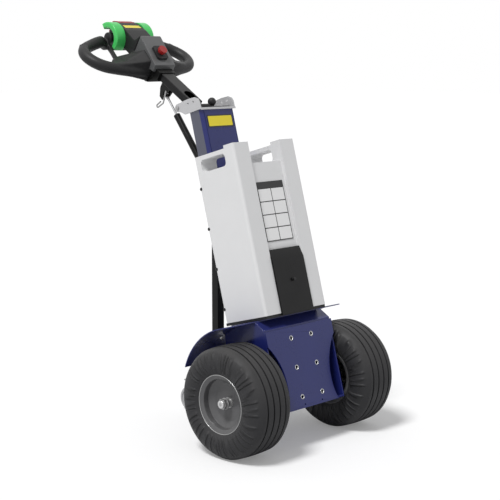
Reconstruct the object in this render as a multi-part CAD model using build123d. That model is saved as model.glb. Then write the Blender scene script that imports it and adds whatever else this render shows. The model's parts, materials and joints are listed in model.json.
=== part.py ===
from build123d import *
import math
import os

# Pedestrian electric tow tractor. Millimetres. X runs across, Y back towards the tiller, Z up.
# Left and right are as seen from the front, where the hitch plate is.
# The axle line is at Y = 0 while the pieces are made; at the end all of them move so that
# the middle of the whole machine's box stands over the origin.

# Stance
lean = 15.6                  # degrees that the body leans back from upright
track = 465                  # between the middles of the two tyres
wheel_radius = 165

# Tyre, rim and hub; sizes along the axle are from the wheel's middle plane
tread_half = 50
tread_crown = 2.0            # the tread's middle stands this much over its edges
tyre_half = 75
tyre_bulge_radius = 126
shoulder_half = 64
shoulder_radius = 154
rib_groove_width = 5
rib_groove_depth = 6
rib_groove_places = (-36, -12, 12, 36)
rim_half = 66
rim_radius = 88
rim_flange = 6               # depth of the turned-up edge
rim_lip = 2.5
rim_barrel_radius = 76
rim_wall = 3
rim_disc_out = 26            # inner face of the disc
rim_disc = 4
rim_dish_radius = 52
rim_cone_rise = 12           # how far the disc's cone reaches out to the barrel
hub_radius = 28
hub_flange_radius = 44
hub_flange = 6
hub_in = 30
hub_pilot_radius = 16
shaft_radius = 12.5
washer_radius = 17
washer_height = 3
washer_place = 44
nut_flats = 28
nut_height = 11
axle_end_radius = 8
axle_end = 6
seat_gap = 0.2               # between a tyre or a pressed piece and what holds it

# Battery case, from its front bottom edge along the leaning body
case_width = 265
case_depth = 174
case_height = 518
case_front_y = -24           # where the front bottom edge stands
case_front_z = 402
case_edge = 9                # rounding of the upright edges
panel_half = 68              # sunk panel between the two front columns
panel_depth = 12
label_half = 57
label_height = 181
label_top = case_height - 123
label_thickness = 1.5
latch_sheet = 6              # black keeper plate in front of the case
latch_foot = 6               # below the case
latch_bend = 158
latch_top = 190
latch_run = 10               # how far its top leans back
latch_lip = 6
latch_knob_up = 93
latch_knob_radius = 5
latch_knob_length = 8
recess_floor = case_height - 63    # open notch between the two hand-grips
handle_top = case_height - 9
handle_bar = 13
hand_front = 42
hand_back = 148
hand_height = 38
hand_round = 12
guide_depth = 12             # groove down the back that takes the mast
guide_clearance = 5

# Tray under the case
tray_height = 8.5
tray_inset = 3

# Chassis, a folded box behind the hitch plate
box_to_tyre = 12.5
box_half = track / 2 - tyre_half - box_to_tyre
box_wall = 5
plate_front = 3.7            # front face of the hitch plate behind the case's front
plate_thickness = 6
plate_top = 45.8             # below the case
plate_height = 242
plate_side_straight = 45
plate_waist_half = box_half - 48
plate_waist_drop = 150
plate_foot_half = box_half - 35
slope_back = 38
box_back = 178
box_chamfer = 34
hole_pitch = 88
hole_first_drop = 32
hole_rows = 3
hole_radius = 6
small_hole_half = 38
small_hole_lift = 10
small_hole_radius = 2.5

# Mudguard, rolled about the axle
guard_half = track / 2 + 15.5
guard_sheet = 3
guard_gap = 210              # inner radius about the axle
guard_arc = 56               # degrees of arc behind the flat part
guard_corner = 20
guard_notch_half = 78
guard_lip = 8

# Drive
drive_half = box_half - 27
drive_size = 110
axle_tube_radius = 32
axle_tube_end = track / 2 - hub_in - 2.5
running_gap = 0.06           # radial clearance of a shaft in its bore

# Mast
mast_half = 70
mast_front = 178
mast_depth = 44
mast_wall = 4
mast_foot = 150              # below the case
mast_top = 658
mast_edge = 5
slot_width = 9
slot_depth = 8
slot_half = 35
cover_front = 166
cover_flat_half = 63
cover_groove = 2

# Head bracket with its two ears
cap_sheet = 4
cap_front = 164
cap_lip = 7
ear_top = 700
ear_hole_radius = 3
pivot_back = 265
pivot_up = 685
ear_boss_radius = 12.5
pivot_pin_radius = 6
pin_stick_out = 4
pad_front = 174
pad_depth = 24
pad_height = 5
knob_back = 186
knob_up = 684
knob_radius = 13
knob_stem_radius = 5

# Tiller, along its own line from the pivot
tiller_rise = 31.8           # degrees over level at rest
tube_width = 50
tube_height = 25
tube_wall = 3
tube_middle = 9              # the tube's middle line over the pivot
tube_start = 4
tube_end = 165
tube_slot_end = 62
tube_slot_half = 17
pivot_tube_radius = 11
lug_front = 118
lug_back = 160
lug_depth = 54
lug_half = 13
lug_plate = 4
eye_along = 140.5
eye_below = 37.7
eye_pin_radius = 4

# Tiller head
grip_radius = 19
ring_middle = 316            # along the tiller line
ring_drop = 13               # below the tiller line
ring_half_width = 207
ring_half_depth = 95
ring_end_radius = 70
ring_tilt = -2.8             # degrees between the ring's plane and the tiller
hub_half = 44
hub_front = 207
hub_back = 440
hub_back_top = 50
hub_crest = (366, 60)        # top of the body behind the console, as (along, up)
hub_valley = (316, 55)
hub_slit = (303, 372)        # open slit under the body, from and to
hub_slit_up = 3
hub_bottom = 32
hub_back_low = 12
hub_edge = 8
shoulder_in = 43.5           # the front web grows from the ring into the body's sides
shoulder_out = 118
drum_radius = 27
drum_end = 78
strut_low = -24
strut_height = 13
console_half = 43
console_front = 187
console_front_top = 39
console_back = 298
console_back_top = 81
stop_base_width = 44
stop_base_length = 50
stop_base_height = 8
stop_base_corner = 8
stop_base_shift = -13        # along the sloping face, from its middle
stop_button_radius = 14.5
stop_button_height = 15
belly_half = 32
belly_depth = 12
clamp_half = 33
clamp_bottom = 38
clamp_front_low = -8
clamp_reach = 93             # from its front to its back end
throttle_middle_along = 400
throttle_middle_up = 8
throttle_in = 34
throttle_out = 53
throttle_from = 30
throttle_to = 196
throttle_width = 36
throttle_edge = 5

# Gas spring
spring_foot_back = 240       # lower pin, in the leaning body
spring_foot_up = 400
spring_radius = 11
spring_length = 305
spring_barrel_start = 24
spring_bore = 185
rod_inside = 120
rod_radius = 4
spring_eye_half = 7
spring_bracket_half = 12
spring_bracket_plate = 4

# Stay, rear arm and castor
stay_front_y = 301
stay_size = 28
stay_top = 640
stay_bracket = 40
arm_half = 30
arm_height = 30
castor_wheel_radius = 40
castor_wheel_half = 14
castor_axle_y = 442
castor_trail = 40
castor_gap = 5
castor_fork_sheet = 3
castor_fork_top = 99.7
castor_plate_bottom = 108
castor_plate = 4
castor_plate_half = 36
castor_boss_radius = 22
castor_race_gap = 0.3
castor_bolt_radius = 5
castor_edge = 4
castor_hub_radius = 9
tread_depth = 9

lever_wire = 2.5
lever_bend = 4

body_frame = Location((0, case_front_y, case_front_z), (-lean, 0, 0))
lean_sin = math.sin(math.radians(lean))
lean_cos = math.cos(math.radians(lean))


def body_point(x, back, up):
    """A place given along the leaning body, in upright coordinates."""
    return (x, case_front_y + back * lean_cos + up * lean_sin, case_front_z - back * lean_sin + up * lean_cos)


def body_local(y, z):
    """The way back from an upright place to (back, up) along the leaning body."""
    dy, dz = y - case_front_y, z - case_front_z
    return (dy * lean_cos - dz * lean_sin, dy * lean_sin + dz * lean_cos)


pivot = body_point(0, pivot_back, pivot_up)
tiller_frame = Location(pivot, (tiller_rise, 0, 0))
tiller_sin = math.sin(math.radians(tiller_rise))
tiller_cos = math.cos(math.radians(tiller_rise))


def tiller_point(x, along, up):
    """A place given along the tiller, in upright coordinates."""
    return (x, pivot[1] + along * tiller_cos - up * tiller_sin, pivot[2] + along * tiller_sin + up * tiller_cos)


axle_back, axle_up = body_local(0, wheel_radius)

ring_top = grip_radius - ring_drop + ring_half_depth * math.sin(math.radians(-ring_tilt))


def block(x, y, z):
    """A box between the low and high values given along X, Y and Z."""
    middle = [(pair[0] + pair[1]) / 2 for pair in (x, y, z)]
    size = [pair[1] - pair[0] for pair in (x, y, z)]
    return Pos(*middle) * Box(*size)


def side_profile(points, low, high):
    """A piece with its outline in the Y-Z plane and its thickness from low to high along X."""
    outline = make_face(Polyline(*points, close=True))
    return extrude(Plane.YZ.offset(low) * outline, high - low)


def rod_across(radius, low, high, y, z):
    """A round bar along X."""
    return Pos((low + high) / 2, y, z) * Rot(0, 90, 0) * Cylinder(radius, high - low)


def both_sides(piece):
    """The piece and its mirror image across the middle plane, as one."""
    return piece + mirror(piece, Plane.YZ)


# Wheels


def wheel_turned(points):
    """A ring turned about the axle; points are (out from the wheel's middle, radius)."""
    outline = make_face(Polyline(*points, close=True))
    return revolve(outline, Axis.X)


def tyre():
    crown = wheel_radius - tread_crown
    bead = rim_barrel_radius + seat_gap
    inside = rim_half - rim_flange - seat_gap
    seat = rim_radius + seat_gap
    right = [
        Line((-inside, bead), (inside, bead)),
        Line((inside, bead), (inside, seat)),
        Line((inside, seat), (rim_half, seat)),
        ThreePointArc((rim_half, seat), (tyre_half, tyre_bulge_radius), (shoulder_half, shoulder_radius)),
        Line((shoulder_half, shoulder_radius), (tread_half, crown)),
        ThreePointArc((tread_half, crown), (0, wheel_radius), (-tread_half, crown)),
        Line((-tread_half, crown), (-shoulder_half, shoulder_radius)),
        ThreePointArc((-shoulder_half, shoulder_radius), (-tyre_half, tyre_bulge_radius), (-rim_half, seat)),
        Line((-rim_half, seat), (-inside, seat)),
        Line((-inside, seat), (-inside, bead)),
    ]
    ring = revolve(make_face(right), Axis.X)
    for place in rib_groove_places:
        low, high = place - rib_groove_width / 2, place + rib_groove_width / 2
        floor = wheel_radius - rib_groove_depth
        top = wheel_radius + rib_groove_depth
        ring -= wheel_turned([(low, floor), (high, floor), (high, top), (low, top)])
    return ring


def rim():
    barrel_in = rim_barrel_radius - rim_wall
    edge = rim_half - rim_flange
    face = rim_disc_out + rim_disc
    bore = hub_pilot_radius + seat_gap
    lip = rim_disc_out + rim_cone_rise
    lip_in = rim_radius - rim_lip
    shell = wheel_turned([
        (-rim_half, rim_radius), (-edge, rim_radius), (-edge, rim_barrel_radius),
        (edge, rim_barrel_radius), (edge, rim_radius), (rim_half, rim_radius), (rim_half, lip_in),
        (edge, barrel_in + 1), (edge - rim_wall, barrel_in), (rim_wall - edge, barrel_in),
        (-edge, barrel_in + 1), (-rim_half, lip_in)])
    disc = wheel_turned([
        (rim_disc_out, bore), (face, bore), (face, rim_dish_radius), (lip + rim_disc, barrel_in),
        (lip, barrel_in), (rim_disc_out, rim_dish_radius)])
    return shell + disc


def hub():
    """Hub on its half-shaft, with the washer, nut and axle end that hold the wheel."""
    inner_end = drive_half + seat_gap - track / 2
    nut_start = washer_place + washer_height
    nut_end = nut_start + nut_height
    pilot_end = rim_disc_out + rim_disc + 1
    piece = rod_across(hub_radius, -hub_in, rim_disc_out, 0, 0)
    piece += rod_across(hub_flange_radius, rim_disc_out - hub_flange, rim_disc_out, 0, 0)
    piece += rod_across(shaft_radius, inner_end, -hub_in, 0, 0)
    piece += rod_across(hub_pilot_radius, rim_disc_out, pilot_end, 0, 0)
    piece += rod_across(shaft_radius, pilot_end, washer_place, 0, 0)
    piece += rod_across(washer_radius, washer_place, nut_start, 0, 0)
    nut = Plane.YZ.offset(nut_start) * RegularPolygon(nut_flats / 2, 6, major_radius=False)
    piece += extrude(nut, nut_height)
    piece += rod_across(axle_end_radius, nut_end, nut_end + axle_end, 0, 0)
    return piece


def wheel_pieces():
    """Tyre, rim and hub of both wheels; the right one is the left one's mirror image."""
    made = {}
    for name, shape in (("tyre", tyre()), ("rim", rim()), ("hub", hub())):
        right = Pos(track / 2, 0, wheel_radius) * shape
        made[name + "_right"] = right
        made[name + "_left"] = mirror(right, Plane.YZ)
    return made


# Battery


def battery_case():
    half = case_width / 2
    case = block((-half, half), (0, case_depth), (0, case_height))
    case = fillet(case.edges().filter_by(Axis.Z), case_edge)
    case -= block((-panel_half, panel_half), (-1, case_depth + 1), (recess_floor, case_height + 1))
    case -= block((-panel_half, panel_half), (-1, panel_depth), (-1, case_height + 1))
    guide_half = mast_half + guide_clearance
    case -= block((-guide_half, guide_half), (case_depth - guide_depth, case_depth + 1), (-1, case_height + 1))
    case -= block((-half - 1, half + 1), (hand_front - 2, case_depth + 1), (handle_top, case_height + 1))
    hand_top = handle_top - handle_bar
    hand = block((-half - 1, half + 1), (hand_front, hand_back), (hand_top - hand_height, hand_top))
    case -= fillet(hand.edges().filter_by(Axis.X), hand_round)
    return body_frame * case


def battery_tray():
    half = case_width / 2 - tray_inset
    tray = block((-half, half), (tray_inset, mast_front - 1), (-tray_height, 0))
    return body_frame * tray


def label_plate():
    """Blank plate in the sunk panel."""
    plate = block((-label_half, label_half), (panel_depth - label_thickness, panel_depth),
                  (label_top - label_height, label_top))
    return body_frame * plate


def latch_plate():
    """Black keeper that stands in front of the case and reaches back into its sunk panel."""
    under = latch_top - latch_lip
    plate = side_profile([
        (-latch_sheet, -latch_foot), (-latch_sheet, latch_bend), (latch_run - latch_sheet, latch_top),
        (panel_depth, latch_top), (panel_depth, under), (latch_run - 2, under), (0, latch_bend - 2),
        (0, -latch_foot)], -panel_half, panel_half)
    return body_frame * plate


def latch_knob():
    middle = -latch_sheet - latch_knob_length / 2
    knob = Pos(4, middle, latch_knob_up) * Rot(90, 0, 0) * Cylinder(latch_knob_radius, latch_knob_length)
    return body_frame * knob


# Chassis


def box_outline(wall):
    """Side view of the chassis box, drawn in by the wall's thickness."""
    top = -guard_to_case() - 0.3 - wall
    radius = guard_gap - 0.3 - wall
    back = box_back - wall
    front = plate_front + plate_thickness + wall
    bottom = -plate_top - plate_height + wall
    slope = slope_back - plate_front
    rise_end = axle_up + math.sqrt(radius ** 2 - (back - axle_back) ** 2)
    arc_turn = math.asin((back - axle_back) / radius) / 2
    middle = (axle_back + radius * math.sin(arc_turn), axle_up + radius * math.cos(arc_turn))
    corner_up = top - slope + (front - plate_front)
    outline = [
        Line((front, bottom), (front, corner_up)),
        Line((front, corner_up), (slope_back + wall / 2, top)),
        Line((slope_back + wall / 2, top), (axle_back, top)),
        ThreePointArc((axle_back, top), middle, (back, rise_end)),
        Line((back, rise_end), (back, bottom + box_chamfer)),
        Line((back, bottom + box_chamfer), (back - box_chamfer, bottom)),
        Line((back - box_chamfer, bottom), (front, bottom)),
    ]
    return make_face(outline)


def guard_to_case():
    """How far the underside of the mudguard's flat part lies below the case."""
    return -(axle_up + guard_gap)


def chassis_box():
    outer = extrude(Plane.YZ.offset(-box_half) * box_outline(0), 2 * box_half)
    inner_half = box_half - box_wall
    inner = extrude(Plane.YZ.offset(-inner_half) * box_outline(box_wall), 2 * inner_half)
    box = outer - inner
    plate_back = plate_front + plate_thickness
    foot = -plate_top - plate_height
    box -= block((-inner_half, inner_half), (0, plate_back + box_wall + 1), (foot + box_wall, -plate_top - 20))
    box -= rod_across(axle_tube_radius + seat_gap, -box_half - 1, box_half + 1, axle_back, axle_up)
    return body_frame * box


def hitch_plate():
    foot = -plate_top - plate_height
    waist = -plate_top - plate_waist_drop
    shoulder = -plate_top - plate_side_straight
    right_side = ThreePointArc((box_half, shoulder), (plate_waist_half, waist), (plate_foot_half, foot))
    left_side = ThreePointArc((-plate_foot_half, foot), (-plate_waist_half, waist), (-box_half, shoulder))
    outline = [
        Line((-box_half, -plate_top), (box_half, -plate_top)),
        Line((box_half, -plate_top), (box_half, shoulder)),
        right_side,
        Line((plate_foot_half, foot), (-plate_foot_half, foot)),
        left_side,
        Line((-box_half, shoulder), (-box_half, -plate_top)),
    ]
    front = Plane(origin=(0, plate_front, 0), x_dir=(1, 0, 0), z_dir=(0, -1, 0))
    plate = extrude(front * make_face(outline), -plate_thickness)
    for x, up in hitch_holes():
        plate -= Pos(x, plate_front, up) * Rot(90, 0, 0) * Cylinder(hole_radius, 4 * plate_thickness)
    for side in (-1, 1):
        small = Rot(90, 0, 0) * Cylinder(small_hole_radius, 4 * plate_thickness)
        plate -= Pos(side * small_hole_half, plate_front, foot + small_hole_lift) * small
    return body_frame * plate


def hitch_holes():
    """Centres of the bolt holes, as (across, up along the leaning body)."""
    places = []
    for row in range(hole_rows):
        up = -plate_top - hole_first_drop - row * hole_pitch
        places += [(-hole_pitch / 2, up), (hole_pitch / 2, up)]
    return places


def mudguard():
    flat_low = axle_up + guard_gap
    flat_high = flat_low + guard_sheet
    outer = guard_gap + guard_sheet

    def on_arc(radius, turn):
        angle = math.radians(turn)
        return (axle_back + radius * math.sin(angle), axle_up + radius * math.cos(angle))

    outline = [
        Line((slope_back, flat_low), (slope_back, flat_high)),
        Line((slope_back, flat_high), (axle_back, flat_high)),
        ThreePointArc((axle_back, flat_high), on_arc(outer, guard_arc / 2), on_arc(outer, guard_arc)),
        Line(on_arc(outer, guard_arc), on_arc(guard_gap, guard_arc)),
        ThreePointArc(on_arc(guard_gap, guard_arc), on_arc(guard_gap, guard_arc / 2), (axle_back, flat_low)),
        Line((axle_back, flat_low), (slope_back, flat_low)),
    ]
    sheet = extrude(Plane.YZ.offset(-guard_half) * make_face(outline), 2 * guard_half)
    corners = sheet.edges().filter_by(Axis.Z).group_by(Axis.Y)[0]
    sheet = fillet(corners, guard_corner)
    notch_front = mast_front - guard_lip
    notch = block((-guard_notch_half, guard_notch_half), (notch_front, notch_front + 200), (-300, 0))
    return body_frame * (sheet - notch)


def transaxle():
    half = drive_size / 2
    drive = block((-drive_half, drive_half), (axle_back - half, axle_back + half), (axle_up - half, axle_up + half))
    return body_frame * drive


def axle_tubes():
    made = {}
    tube = rod_across(axle_tube_radius, drive_half, axle_tube_end, 0, wheel_radius)
    tube -= rod_across(shaft_radius + running_gap, drive_half - 1, axle_tube_end + 1, 0, wheel_radius)
    made["axle_tube_right"] = tube
    made["axle_tube_left"] = mirror(tube, Plane.YZ)
    return made


# Mast


def mast_column():
    mast_back = mast_front + mast_depth
    column = block((-mast_half, mast_half), (mast_front, mast_back), (-mast_foot, mast_top))
    column = fillet(column.edges().filter_by(Axis.Z), mast_edge)
    column -= block((-mast_half + mast_wall, mast_half - mast_wall),
                    (mast_front + mast_wall, mast_back - slot_depth - mast_wall), (-mast_foot - 1, mast_top + 1))
    for side in (-1, 1):
        low = side * slot_half - slot_width / 2
        column -= block((low, low + slot_width), (mast_back - slot_depth, mast_back + 1), (-mast_foot - 1, mast_top + 1))
    return body_frame * column


def mast_cover():
    """Folded panel on the front of the mast, with a groove beside each bevel."""
    outline = Polyline((-mast_half, mast_front), (-cover_flat_half, cover_front), (cover_flat_half, cover_front),
                       (mast_half, mast_front), close=True)
    panel = extrude(make_face(outline), mast_top)
    for side in (-1, 1):
        middle = side * (cover_flat_half - cover_groove)
        panel -= block((middle - cover_groove / 2, middle + cover_groove / 2),
                       (cover_front - 1, cover_front + cover_groove), (-1, mast_top + 1))
    return body_frame * panel


def head_bracket():
    """Cap on the mast with two ears that carry the tiller's pivot."""
    inner, outer = mast_half + seat_gap, mast_half + seat_gap + cap_sheet
    back = mast_front + mast_depth
    cap_top = mast_top + cap_sheet
    bracket = block((-outer, outer), (cap_front, back), (mast_top, cap_top))
    bracket += block((-outer, outer), (cap_front - cap_sheet / 2, cap_front), (cap_top - cap_lip, cap_top))
    ear = side_profile([
        (cap_front, mast_top), (cap_front, mast_top + 22), (cap_front + 5, ear_top - 9), (cap_front + 19, ear_top - 1),
        (cap_front + 50, ear_top + 1), (pivot_back, pivot_up + ear_boss_radius),
        (pivot_back - 3, pivot_up - ear_boss_radius), (pivot_back - 12, mast_top + 10),
        (pivot_back - 27, mast_top)], inner, outer)
    ear += rod_across(ear_boss_radius, inner, outer, pivot_back, pivot_up)
    ear -= rod_across(pivot_pin_radius, inner - 1, outer + 1, pivot_back, pivot_up)
    for place in (pivot_back - 49, pivot_back - 73):
        ear -= rod_across(ear_hole_radius, inner - 1, outer + 1, place, pivot_up + 2)
    return body_frame * (bracket + both_sides(ear))


def pivot_pin():
    end = mast_half + seat_gap + cap_sheet + pin_stick_out
    return body_frame * rod_across(pivot_pin_radius, -end, end, pivot_back, pivot_up)


def stop_pad():
    cap_top = mast_top + cap_sheet
    pad = block((-mast_half + 8, mast_half - 8), (pad_front, pad_front + pad_depth), (cap_top, cap_top + pad_height))
    return body_frame * pad


def head_knob():
    cap_top = mast_top + cap_sheet
    stem_bottom = cap_top + pad_height
    stem = Pos(0, knob_back, (stem_bottom + knob_up) / 2) * Cylinder(knob_stem_radius, knob_up - stem_bottom)
    return body_frame * (stem + Pos(0, knob_back, knob_up) * Sphere(knob_radius))


def spring_bracket():
    """Two cheeks on the back of the mast with the gas spring's lower pin."""
    back = mast_front + mast_depth
    reach = spring_foot_back + 10
    inner = spring_bracket_half - spring_bracket_plate
    cheek = side_profile([(back, spring_foot_up - 16), (back, spring_foot_up + 16), (reach, spring_foot_up + 10),
                          (reach, spring_foot_up - 10)], inner, spring_bracket_half)
    bracket = both_sides(cheek)
    bracket += block((-spring_bracket_half, spring_bracket_half), (back, back + 3),
                     (spring_foot_up - 16, spring_foot_up + 16))
    end = spring_bracket_half + 3
    bracket += rod_across(eye_pin_radius, -end, end, spring_foot_back, spring_foot_up)
    return body_frame * bracket


# Stay, arm and castor


def mast_back_y(z):
    """Y of the mast's back face at height z."""
    back = mast_front + mast_depth
    up = (z - case_front_z + back * lean_sin) / lean_cos
    return case_front_y + back * lean_cos + up * lean_sin


def box_back_y(z):
    """Y of the chassis box's back face at height z."""
    up = (z - case_front_z + box_back * lean_sin) / lean_cos
    return case_front_y + box_back * lean_cos + up * lean_sin


def arm_bottom():
    return castor_plate_bottom + castor_plate


def rear_stay():
    half = stay_size / 2
    low = arm_bottom() + arm_height
    stay = block((-half, half), (stay_front_y, stay_front_y + stay_size), (low, stay_top))
    foot = stay_top - stay_bracket
    stay += side_profile([(mast_back_y(foot), foot), (stay_front_y + 1, foot), (stay_front_y + 1, stay_top),
                          (mast_back_y(stay_top), stay_top)], -half, half)
    return stay


def rear_arm():
    low, high = arm_bottom(), arm_bottom() + arm_height
    end = castor_axle_y - castor_trail + castor_plate_half / 2
    arm = side_profile([(box_back_y(low), low), (end, low), (end, high), (box_back_y(high), high)],
                       -arm_half, arm_half)
    return arm


def castor_mount():
    top = castor_plate_bottom + castor_plate
    pin_y = castor_axle_y - castor_trail
    half = castor_plate_half
    plate = block((-half, half), (pin_y - half, pin_y + half), (castor_plate_bottom, top))
    boss_low = castor_fork_top + castor_race_gap
    boss = Pos(0, pin_y, (boss_low + castor_plate_bottom) / 2)
    return plate + boss * Cylinder(castor_boss_radius, castor_plate_bottom - boss_low)


def castor_fork():
    pin_y = castor_axle_y - castor_trail
    inner = castor_wheel_half + castor_gap
    outer = inner + castor_fork_sheet
    crown_low = castor_fork_top - 2 * castor_fork_sheet
    crown = Pos(0, pin_y, (crown_low + castor_fork_top) / 2) * Cylinder(castor_boss_radius, 2 * castor_fork_sheet)
    leg = side_profile([(pin_y - 20, castor_fork_top - 1), (pin_y + 18, castor_fork_top - 1),
                        (castor_axle_y + 11, castor_wheel_radius), (castor_axle_y + 6, castor_wheel_radius - 9),
                        (castor_axle_y - 6, castor_wheel_radius - 9), (castor_axle_y - 11, castor_wheel_radius)],
                       inner, outer)
    fork = crown + both_sides(leg)
    return fork + rod_across(castor_bolt_radius, -outer - 3, outer + 3, castor_axle_y, castor_wheel_radius)


def castor_wheel():
    wheel = rod_across(castor_wheel_radius, -castor_wheel_half, castor_wheel_half, 0, 0)
    wheel = fillet(wheel.edges().filter_by(GeomType.CIRCLE), castor_edge)
    dish = rod_across(castor_wheel_radius - tread_depth, castor_wheel_half - 3, castor_wheel_half + 1, 0, 0)
    wheel -= both_sides(dish)
    hub_end = castor_wheel_half + castor_gap - 2 * seat_gap
    wheel += rod_across(castor_hub_radius, -hub_end, hub_end, 0, 0)
    wheel -= rod_across(castor_bolt_radius + running_gap, -hub_end - 1, hub_end + 1, 0, 0)
    return Pos(0, castor_axle_y, castor_wheel_radius) * wheel


# Tiller


def tiller_tube():
    half = tube_width / 2
    low, high = tube_middle - tube_height / 2, tube_middle + tube_height / 2
    tube = block((-half, half), (tube_start, tube_end), (low, high))
    tube = fillet(tube.edges().filter_by(Axis.Y), 3)
    tube -= block((-half + tube_wall, half - tube_wall), (tube_start - 1, tube_end + 1),
                  (low + tube_wall, high - tube_wall))
    slot_round = tube_slot_end - tube_slot_half
    tube -= block((-tube_slot_half, tube_slot_half), (tube_start - 1, slot_round), (high - tube_wall - 1, high + 1))
    tube -= Pos(0, slot_round, high) * Cylinder(tube_slot_half, 2 * tube_wall + 2)
    ear_inside = mast_half - seat_gap
    tube += rod_across(pivot_tube_radius, -ear_inside, ear_inside, 0, 0)
    tube -= rod_across(pivot_pin_radius + running_gap, -ear_inside - 1, ear_inside + 1, 0, 0)
    return tiller_frame * tube


def tiller_lug():
    """Clevis under the tube that takes the gas spring's eye."""
    top = tube_middle - tube_height / 2
    low = top - lug_depth
    cheek = side_profile([(lug_front, top), (lug_back, top), (lug_back, top - 24), (lug_back - 12, low + 4),
                          (lug_front + 14, low), (lug_front + 6, top - 20)], lug_half - lug_plate, lug_half)
    pin_head = rod_across(eye_pin_radius + 2, lug_half, lug_half + 2, eye_along, -eye_below)
    plate = block((-lug_half, lug_half), (lug_front, lug_back), (top - 4, top))
    return tiller_frame * (both_sides(cheek + pin_head) + plate)


def oval_path():
    """Middle line of the hand ring: two long arcs and two tight ones, all tangent."""
    reach = ring_half_width - ring_end_radius
    long_radius = (reach ** 2 + ring_half_depth ** 2 - ring_end_radius ** 2) / (2 * (ring_half_depth - ring_end_radius))
    centre = long_radius - ring_half_depth
    meet_angle = math.atan2(centre, reach)
    meet_x = reach + ring_end_radius * math.cos(meet_angle)
    meet_y = ring_end_radius * math.sin(meet_angle)
    return [
        ThreePointArc((meet_x, -meet_y), (ring_half_width, 0), (meet_x, meet_y)),
        ThreePointArc((meet_x, meet_y), (0, ring_half_depth), (-meet_x, meet_y)),
        ThreePointArc((-meet_x, meet_y), (-ring_half_width, 0), (-meet_x, -meet_y)),
        ThreePointArc((-meet_x, -meet_y), (0, -ring_half_depth), (meet_x, -meet_y)),
    ]


def hand_ring():
    path = Wire(oval_path())
    start = Plane(origin=(ring_half_width, 0, 0), x_dir=(1, 0, 0), z_dir=(0, 1, 0))
    return sweep(start * Circle(grip_radius), path=path)


def front_shoulder():
    """Right half of the web in front, from the body's side out to the ring."""
    inner = [(204, -30), (212, 41), (256, 54), (303, 16), (303, -2), (240, -31)]
    outer = [(226, -22), (231, 4), (250, 7), (304, -12), (302, -21), (250, -25)]
    sections = [(shoulder_in, inner), (shoulder_out, outer)]
    faces = [Plane.YZ.offset(x) * make_face(Polyline(*points, close=True)) for x, points in sections]
    return loft(faces, ruled=True)


def throttle_strut():
    """Right-hand strut between the throttle's drum and the web, beside the slit."""
    plan = Polyline((68, 384), (78, 388), (99, 312), (86, 306), close=True)
    return Pos(0, 0, strut_low) * extrude(make_face(plan), strut_height)


def tiller_head():
    """Moulded head: the hand ring, the body in its middle and the web in front."""
    ring = Pos(0, ring_middle, -ring_drop) * Rot(ring_tilt, 0, 0) * hand_ring()
    slit_front, slit_back = hub_slit
    body = side_profile([
        (hub_front, -hub_bottom), (slit_front - 10, -hub_bottom), (slit_front, 0), (slit_back, hub_slit_up),
        (slit_back + 20, -hub_bottom - 2), (hub_back - 12, -hub_bottom - 4), (hub_back, -hub_back_low),
        (hub_back, hub_back_top), (hub_back - 28, hub_back_top + 7), hub_crest, hub_valley,
        (console_back, console_back_top), (console_back, ring_top), (hub_front, ring_top)], -hub_half, hub_half)
    body = fillet(body.edges().filter_by(Axis.X).group_by(Axis.Y)[-1], hub_edge)
    drum = rod_across(drum_radius, hub_half - 1, drum_end, throttle_middle_along, throttle_middle_up)
    sides = front_shoulder() + drum + throttle_strut()
    return tiller_frame * (ring + body + both_sides(sides))


def console():
    """Sloping block that carries the stop button."""
    floor = ring_top + seat_gap
    back = console_back - seat_gap
    block_side = side_profile([(console_front, floor + 4), (console_front, console_front_top),
                               (back, console_back_top), (back, floor), (hub_front, floor)],
                              -console_half, console_half)
    return tiller_frame * block_side


def console_frame(lift):
    """Frame on the console's sloping face, lift above it."""
    run, rise = console_back - console_front, console_back_top - console_front_top
    slope = math.degrees(math.atan2(rise, run))
    along = (console_front + console_back) / 2
    up = (console_front_top + console_back_top) / 2
    return tiller_frame * Location((0, along, up), (slope, 0, 0)) * Pos(0, stop_base_shift, lift)


def stop_button_base():
    base = block((-stop_base_width / 2, stop_base_width / 2), (-stop_base_length / 2, stop_base_length / 2),
                 (0, stop_base_height))
    return console_frame(seat_gap) * fillet(base.edges().filter_by(Axis.Z), stop_base_corner)


def stop_button():
    stem = Pos(0, 0, stop_button_height / 2) * Cylinder(stop_button_radius * 0.75, stop_button_height)
    cap = Pos(0, 0, stop_button_height * 0.7) * Cylinder(stop_button_radius, stop_button_height * 0.6)
    return console_frame(stop_base_height + 2 * seat_gap) * (stem + cap)


def belly_button():
    button = block((-belly_half, belly_half), (hub_back, hub_back + belly_depth), (2, hub_back_top - 3))
    return tiller_frame * fillet(button.edges().group_by(Axis.Y)[-1], 4)


def head_clamp():
    """Black housing under the head that grips the tube's end."""
    top = tube_middle + tube_height / 2 + tube_wall
    under_body = hub_bottom + seat_gap + 0.3
    back = hub_front - 5.2
    front_top = console_front - seat_gap
    end = tube_end + clamp_reach
    housing = side_profile([
        (tube_end, top), (tube_end, clamp_front_low), (tube_end + 36, 5 - clamp_bottom),
        (tube_end + 48, -clamp_bottom), (end - 15, -clamp_bottom - 2), (end, -under_body), (back, -under_body),
        (back, ring_top - seat_gap), (front_top, ring_top), (front_top, top)], -clamp_half, clamp_half)
    return tiller_frame * housing


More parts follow.
